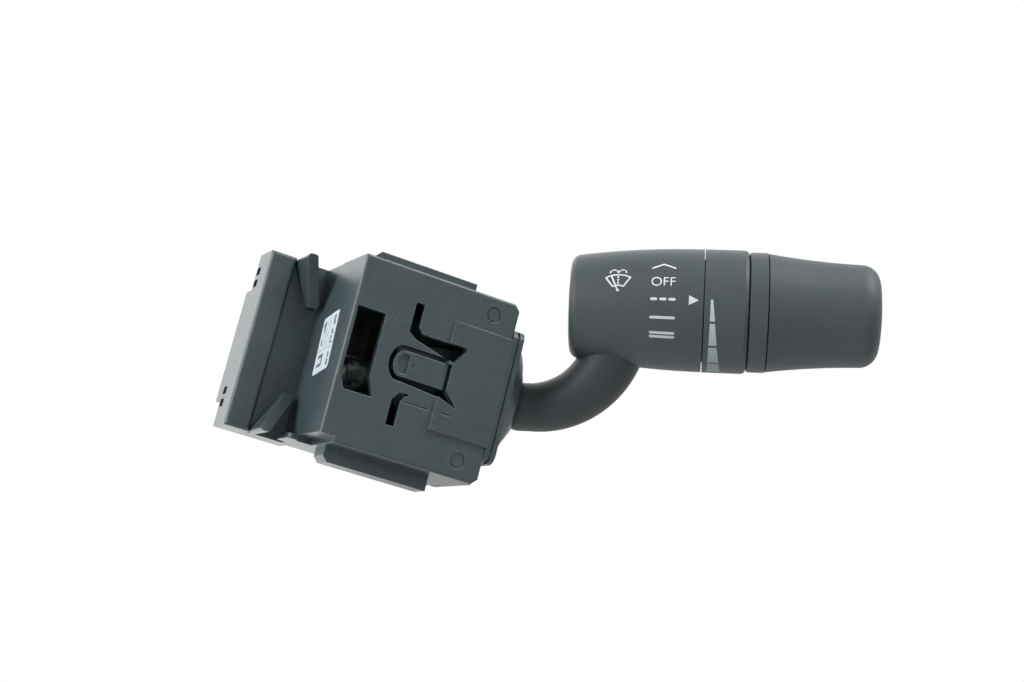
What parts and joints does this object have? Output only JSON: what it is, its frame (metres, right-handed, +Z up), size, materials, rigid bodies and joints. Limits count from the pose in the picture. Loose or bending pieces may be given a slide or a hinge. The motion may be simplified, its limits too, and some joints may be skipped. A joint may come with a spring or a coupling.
{
  "type": "combination stalk switch",
  "caption": "Steering-column wiper and washer stalk switch: ribbed housing with latch and connector, curved arm, head with interval dial and end cap.",
  "frame": {"origin": "middle of the flat column face at the left end of the housing", "axes": "+X along the housing from the column face towards the lever, +Y away from the driver (the front face looks towards -Y), +Z up"},
  "size_m": [0.1555, 0.0924, 0.088],
  "materials": {
    "case_plastic": "moulded, slightly satin",
    "head_plastic": "fine grain",
    "acetal": "natural, greased",
    "board": "black laminate",
    "contact_metal": "stamped",
    "steel": "drawn",
    "lead": "insulation"
  },
  "bodies": {
    "housing": {"front_case": "case_plastic", "base_case": "case_plastic", "end_bezel": "case_plastic", "case_rivets": "case_plastic", "terminal_pins": "contact_metal", "detent_plate": "acetal", "contact_board": "board", "contact_tracks": "contact_metal"},
    "latch": {"latch_tongue": "case_plastic"},
    "carrier": {"gimbal_carrier": "case_plastic", "pivot_pin": "steel", "select_spring": "steel"},
    "select_plunger": {"select_plunger": "acetal"},
    "contact_slider": {"contact_slider": "acetal", "slider_brushes": "contact_metal"},
    "lever": {"lever_holder": "case_plastic", "return_spring": "steel", "stalk_arm": "head_plastic", "shutter_dome": "case_plastic", "lead_wires": "lead", "head_core": "head_plastic", "barrel": "head_plastic", "dial_board": "board", "detent_ball": "acetal", "fixed_ring": "head_plastic", "end_cap": "head_plastic"},
    "return_plunger": {"return_plunger": "acetal"},
    "dial": {"dial_ring": "head_plastic", "dial_brush": "contact_metal"}
  },
  "joints": [
    {"name": "wiper_select", "type": "hinge", "parent": "housing", "child": "carrier", "pos_m": [0.054, -0.015, 0.0015], "axis": [0, 1, 0], "range_deg": [-5.5, 16.5]},
    {"name": "washer_pull", "type": "hinge", "parent": "carrier", "child": "lever", "pos_m": [0.054, -0.015, 0.0015], "axis": [0.1736, 0, -0.9848], "range_deg": [0, 7], "stiffness_Nm_per_rad": 0.15, "springref_deg": -17.19},
    {"name": "dial_turn", "type": "hinge", "parent": "lever", "child": "dial", "pos_m": [0.10974, -0.04807, 0.03747], "axis": [-0.8561, 0.4843, -0.1805], "range_deg": [0, 78]},
    {"name": "latch_flex", "type": "hinge", "parent": "housing", "child": "latch", "pos_m": [0.046, -0.0351, 0], "axis": [0, 0, -1], "range_deg": [0, 4], "stiffness_Nm_per_rad": 0.3, "springref_deg": -2.86},
    {"name": "select_plunger_slide", "type": "slide", "parent": "carrier", "child": "select_plunger", "axis": [0.9848, 0, 0.1736], "range_m": [0, 0.0009], "stiffness_N_per_m": 1500, "springref_m": -0.002},
    {"name": "return_plunger_slide", "type": "slide", "parent": "lever", "child": "return_plunger", "axis": [0.9848, 0, 0.1736], "range_m": [0, 0.0007], "stiffness_N_per_m": 1000, "springref_m": -0.002},
    {"name": "contact_slide", "type": "slide", "parent": "housing", "child": "contact_slider", "axis": [0, 0, 1], "range_m": [-0.00195, 0.00575]}
  ],
  "couplings": [
    {"joint": "contact_slide", "follows": "wiper_select", "m_per_rad": 0.0198}
  ]
}
